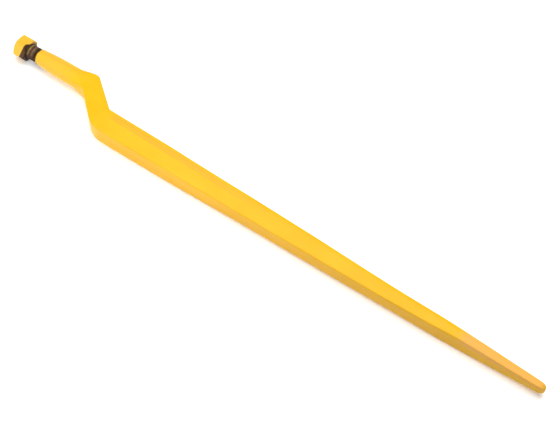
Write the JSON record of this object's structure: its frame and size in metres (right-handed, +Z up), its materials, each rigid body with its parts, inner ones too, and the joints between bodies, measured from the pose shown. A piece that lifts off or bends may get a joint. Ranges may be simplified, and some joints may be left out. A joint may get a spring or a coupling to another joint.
{
  "type": "loader tine",
  "caption": "Cranked loader tine: threaded stud with hexagon nut, tapered locating cone, offset crank and long blade tapering in depth to a narrow blunt point.",
  "frame": {"origin": "centre of the footprint on the floor, with the tine lying on its flank", "axes": "+X runs from the stud to the point, Y across the crank with the shank on +Y and the blade on -Y, +Z up from the floor"},
  "size_m": [0.8996, 0.0786, 0.0356],
  "materials": {
    "tine_enamel": "semi-gloss yellow enamel on the forging, bare darkened steel on the stud",
    "nut_enamel": "semi-gloss yellow enamel, thin on the underside"
  },
  "bodies": {
    "root": {"tine": "tine_enamel", "hex_nut": "nut_enamel"}
  },
  "joints": []
}
